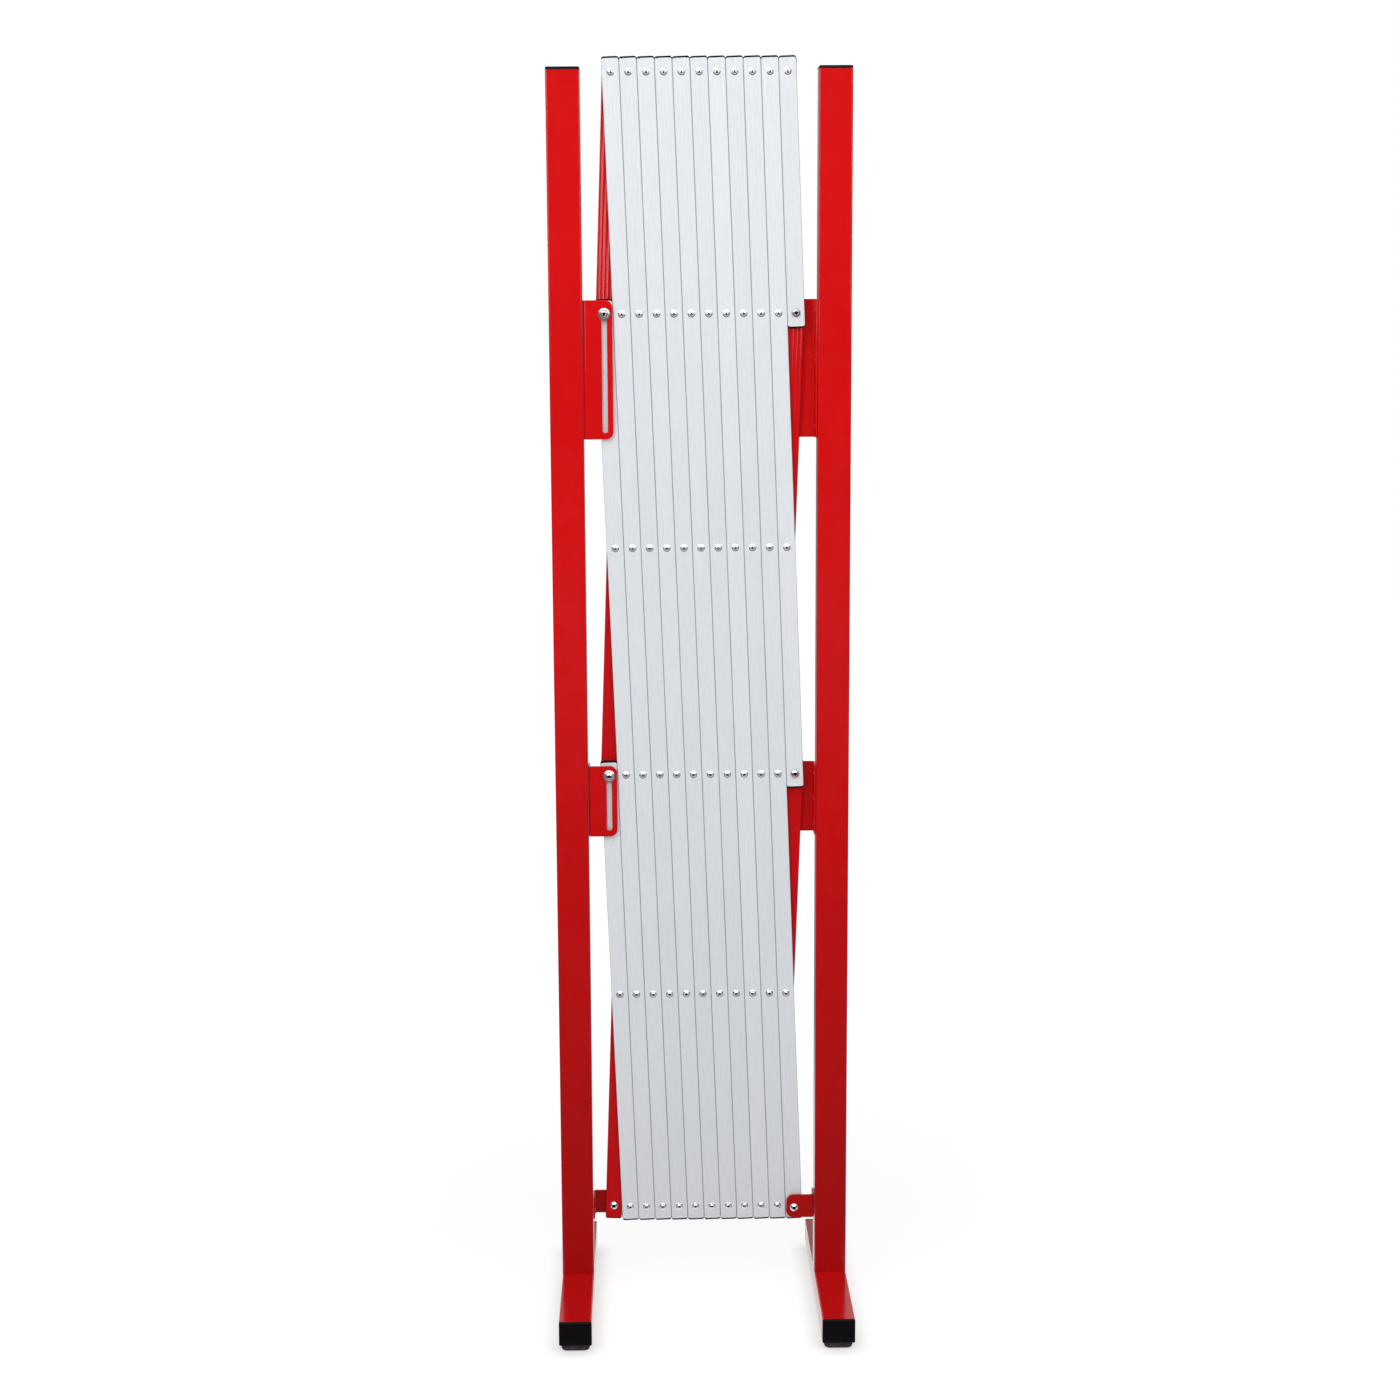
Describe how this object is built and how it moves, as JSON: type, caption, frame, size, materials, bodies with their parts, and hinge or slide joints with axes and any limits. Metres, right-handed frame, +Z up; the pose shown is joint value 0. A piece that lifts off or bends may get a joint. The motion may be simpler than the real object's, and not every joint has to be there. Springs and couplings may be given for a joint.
{
  "type": "expandable safety barrier",
  "caption": "Folding barrier of two footed red posts joined by a riveted scissor lattice of white and red slats, which pulls out sideways to close off an area.",
  "frame": {"origin": "on the floor at the middle of the footprint, halfway between the two posts", "axes": "+Z up, the white slats' side faces -Y, +X to the right as seen from there"},
  "size_m": [0.361, 0.3216, 1.5452],
  "materials": {
    "red_paint": "gloss",
    "white_slat_paint": "satin",
    "red_slat_paint": "gloss",
    "black_plastic": "satin",
    "rubber_pad": "matte",
    "zinc_steel": "polished"
  },
  "bodies": {
    "left_stand": {"left_upper_bracket": "red_paint", "left_middle_bracket": "red_paint", "left_lower_bracket": "red_paint", "left_lower_bolt": "zinc_steel", "left_lower_spacer": "black_plastic", "left_post": "red_paint", "left_post_cap": "black_plastic", "left_foot": "red_paint", "left_foot_bolt": "zinc_steel", "left_front_cap": "black_plastic", "left_rear_cap": "black_plastic", "left_front_pad": "rubber_pad", "left_rear_pad": "rubber_pad"},
    "right_stand": {"right_upper_bracket": "red_paint", "right_middle_bracket": "red_paint", "right_lower_bracket": "red_paint", "right_lower_bolt": "zinc_steel", "right_lower_spacer": "black_plastic", "right_post": "red_paint", "right_post_cap": "black_plastic", "right_foot": "red_paint", "right_foot_bolt": "zinc_steel", "right_front_cap": "black_plastic", "right_rear_cap": "black_plastic", "right_front_pad": "rubber_pad", "right_rear_pad": "rubber_pad"},
    "red_03": {"red_slat_03": "red_slat_paint"},
    "white_05": {"white_slat_05": "white_slat_paint"},
    "white_04": {"white_slat_04": "white_slat_paint"},
    "white_03": {"white_slat_03": "white_slat_paint"},
    "white_02": {"white_slat_02": "white_slat_paint", "left_upper_bolt": "zinc_steel", "left_upper_spacer": "black_plastic"},
    "white_01": {"white_slat_01": "white_slat_paint", "left_middle_bolt": "zinc_steel", "left_middle_spacer": "black_plastic"},
    "red_04": {"red_slat_04": "red_slat_paint"},
    "red_05": {"red_slat_05": "red_slat_paint"},
    "red_06": {"red_slat_06": "red_slat_paint"},
    "red_07": {"red_slat_07": "red_slat_paint"},
    "red_08": {"red_slat_08": "red_slat_paint"},
    "red_02": {"red_slat_02": "red_slat_paint"},
    "red_01": {"red_slat_01": "red_slat_paint"},
    "white_06": {"white_slat_06": "white_slat_paint"},
    "white_07": {"white_slat_07": "white_slat_paint"},
    "white_08": {"white_slat_08": "white_slat_paint"},
    "white_09": {"white_slat_09": "white_slat_paint"},
    "white_10": {"white_slat_10": "white_slat_paint"},
    "red_09": {"red_slat_09": "red_slat_paint"},
    "red_10": {"red_slat_10": "red_slat_paint"},
    "red_11": {"red_slat_11": "red_slat_paint"},
    "red_12": {"red_slat_12": "red_slat_paint", "right_upper_bolt": "zinc_steel", "right_upper_spacer": "black_plastic"},
    "red_13": {"red_slat_13": "red_slat_paint", "right_middle_bolt": "zinc_steel", "right_middle_spacer": "black_plastic"},
    "white_11": {"white_slat_11": "white_slat_paint"},
    "white_12": {"white_slat_12": "white_slat_paint"},
    "white_13": {"white_slat_13": "white_slat_paint"}
  },
  "joints": [
    {"name": "lattice_opening", "type": "hinge", "parent": "left_stand", "child": "red_03", "pos_m": [-0.11448, 0, 0.1243], "axis": [0, 1, 0], "range_deg": [0, 25.54]},
    {"name": "white_05_pivot", "type": "hinge", "parent": "red_03", "child": "white_05", "pos_m": [-0.06244, 0, 1.52683], "axis": [0, 1, 0], "range_deg": [-51.08, 0]},
    {"name": "white_04_pivot", "type": "hinge", "parent": "red_03", "child": "white_04", "pos_m": [-0.07285, 0, 1.24633], "axis": [0, 1, 0], "range_deg": [-51.08, 0]},
    {"name": "white_03_pivot", "type": "hinge", "parent": "red_03", "child": "white_03", "pos_m": [-0.08326, 0, 0.96582], "axis": [0, 1, 0], "range_deg": [-51.08, 0]},
    {"name": "white_02_pivot", "type": "hinge", "parent": "red_03", "child": "white_02", "pos_m": [-0.09366, 0, 0.68531], "axis": [0, 1, 0], "range_deg": [-51.08, 0]},
    {"name": "white_01_pivot", "type": "hinge", "parent": "red_03", "child": "white_01", "pos_m": [-0.10407, 0, 0.40481], "axis": [0, 1, 0], "range_deg": [-51.08, 0]},
    {"name": "red_04_pivot", "type": "hinge", "parent": "white_05", "child": "red_04", "pos_m": [-0.05204, 0, 1.24633], "axis": [0, 1, 0], "range_deg": [0, 51.08]},
    {"name": "red_05_pivot", "type": "hinge", "parent": "white_05", "child": "red_05", "pos_m": [-0.04163, 0, 0.96582], "axis": [0, 1, 0], "range_deg": [0, 51.08]},
    {"name": "red_06_pivot", "type": "hinge", "parent": "white_05", "child": "red_06", "pos_m": [-0.03122, 0, 0.68531], "axis": [0, 1, 0], "range_deg": [0, 51.08]},
    {"name": "red_07_pivot", "type": "hinge", "parent": "white_05", "child": "red_07", "pos_m": [-0.02081, 0, 0.40481], "axis": [0, 1, 0], "range_deg": [0, 51.08]},
    {"name": "red_08_pivot", "type": "hinge", "parent": "white_05", "child": "red_08", "pos_m": [-0.01041, 0, 0.1243], "axis": [0, 1, 0], "range_deg": [0, 51.08]},
    {"name": "red_02_pivot", "type": "hinge", "parent": "white_04", "child": "red_02", "pos_m": [-0.08326, 0, 1.52683], "axis": [0, 1, 0], "range_deg": [0, 51.08]},
    {"name": "red_01_pivot", "type": "hinge", "parent": "white_03", "child": "red_01", "pos_m": [-0.10407, 0, 1.52683], "axis": [0, 1, 0], "range_deg": [0, 51.08]},
    {"name": "white_06_pivot", "type": "hinge", "parent": "red_04", "child": "white_06", "pos_m": [-0.04163, 0, 1.52683], "axis": [0, 1, 0], "range_deg": [-51.08, 0]},
    {"name": "white_07_pivot", "type": "hinge", "parent": "red_05", "child": "white_07", "pos_m": [-0.02081, 0, 1.52683], "axis": [0, 1, 0], "range_deg": [-51.08, 0]},
    {"name": "white_08_pivot", "type": "hinge", "parent": "red_06", "child": "white_08", "pos_m": [0, 0, 1.52683], "axis": [0, 1, 0], "range_deg": [-51.08, 0]},
    {"name": "white_09_pivot", "type": "hinge", "parent": "red_07", "child": "white_09", "pos_m": [0.02081, 0, 1.52683], "axis": [0, 1, 0], "range_deg": [-51.08, 0]},
    {"name": "white_10_pivot", "type": "hinge", "parent": "red_08", "child": "white_10", "pos_m": [0.04163, 0, 1.52683], "axis": [0, 1, 0], "range_deg": [-51.08, 0]},
    {"name": "red_09_pivot", "type": "hinge", "parent": "white_06", "child": "red_09", "pos_m": [0.01041, 0, 0.1243], "axis": [0, 1, 0], "range_deg": [0, 51.08]},
    {"name": "red_10_pivot", "type": "hinge", "parent": "white_07", "child": "red_10", "pos_m": [0.03122, 0, 0.1243], "axis": [0, 1, 0], "range_deg": [0, 51.08]},
    {"name": "red_11_pivot", "type": "hinge", "parent": "white_08", "child": "red_11", "pos_m": [0.05204, 0, 0.1243], "axis": [0, 1, 0], "range_deg": [0, 51.08]},
    {"name": "red_12_pivot", "type": "hinge", "parent": "white_09", "child": "red_12", "pos_m": [0.07285, 0, 0.1243], "axis": [0, 1, 0], "range_deg": [0, 51.08]},
    {"name": "red_13_pivot", "type": "hinge", "parent": "white_10", "child": "red_13", "pos_m": [0.09366, 0, 0.1243], "axis": [0, 1, 0], "range_deg": [0, 51.08]},
    {"name": "white_11_pivot", "type": "hinge", "parent": "red_09", "child": "white_11", "pos_m": [0.06244, 0, 1.52683], "axis": [0, 1, 0], "range_deg": [-51.08, 0]},
    {"name": "white_12_pivot", "type": "hinge", "parent": "red_10", "child": "white_12", "pos_m": [0.08326, 0, 1.52683], "axis": [0, 1, 0], "range_deg": [-51.08, 0]},
    {"name": "white_13_pivot", "type": "hinge", "parent": "red_11", "child": "white_13", "pos_m": [0.10407, 0, 1.52683], "axis": [0, 1, 0], "range_deg": [-51.08, 0]},
    {"name": "right_stand_pivot", "type": "hinge", "parent": "white_11", "child": "right_stand", "pos_m": [0.11448, 0, 0.1243], "axis": [0, 1, 0], "range_deg": [0, 25.54]}
  ],
  "couplings": [
    {"joint": "white_05_pivot", "follows": "lattice_opening", "ratio": -2},
    {"joint": "white_04_pivot", "follows": "lattice_opening", "ratio": -2},
    {"joint": "white_03_pivot", "follows": "lattice_opening", "ratio": -2},
    {"joint": "white_02_pivot", "follows": "lattice_opening", "ratio": -2},
    {"joint": "white_01_pivot", "follows": "lattice_opening", "ratio": -2},
    {"joint": "red_04_pivot", "follows": "lattice_opening", "ratio": 2},
    {"joint": "red_05_pivot", "follows": "lattice_opening", "ratio": 2},
    {"joint": "red_06_pivot", "follows": "lattice_opening", "ratio": 2},
    {"joint": "red_07_pivot", "follows": "lattice_opening", "ratio": 2},
    {"joint": "red_08_pivot", "follows": "lattice_opening", "ratio": 2},
    {"joint": "red_02_pivot", "follows": "lattice_opening", "ratio": 2},
    {"joint": "red_01_pivot", "follows": "lattice_opening", "ratio": 2},
    {"joint": "white_06_pivot", "follows": "lattice_opening", "ratio": -2},
    {"joint": "white_07_pivot", "follows": "lattice_opening", "ratio": -2},
    {"joint": "white_08_pivot", "follows": "lattice_opening", "ratio": -2},
    {"joint": "white_09_pivot", "follows": "lattice_opening", "ratio": -2},
    {"joint": "white_10_pivot", "follows": "lattice_opening", "ratio": -2},
    {"joint": "red_09_pivot", "follows": "lattice_opening", "ratio": 2},
    {"joint": "red_10_pivot", "follows": "lattice_opening", "ratio": 2},
    {"joint": "red_11_pivot", "follows": "lattice_opening", "ratio": 2},
    {"joint": "red_12_pivot", "follows": "lattice_opening", "ratio": 2},
    {"joint": "red_13_pivot", "follows": "lattice_opening", "ratio": 2},
    {"joint": "white_11_pivot", "follows": "lattice_opening", "ratio": -2},
    {"joint": "white_12_pivot", "follows": "lattice_opening", "ratio": -2},
    {"joint": "white_13_pivot", "follows": "lattice_opening", "ratio": -2},
    {"joint": "right_stand_pivot", "follows": "lattice_opening", "ratio": 1}
  ]
}
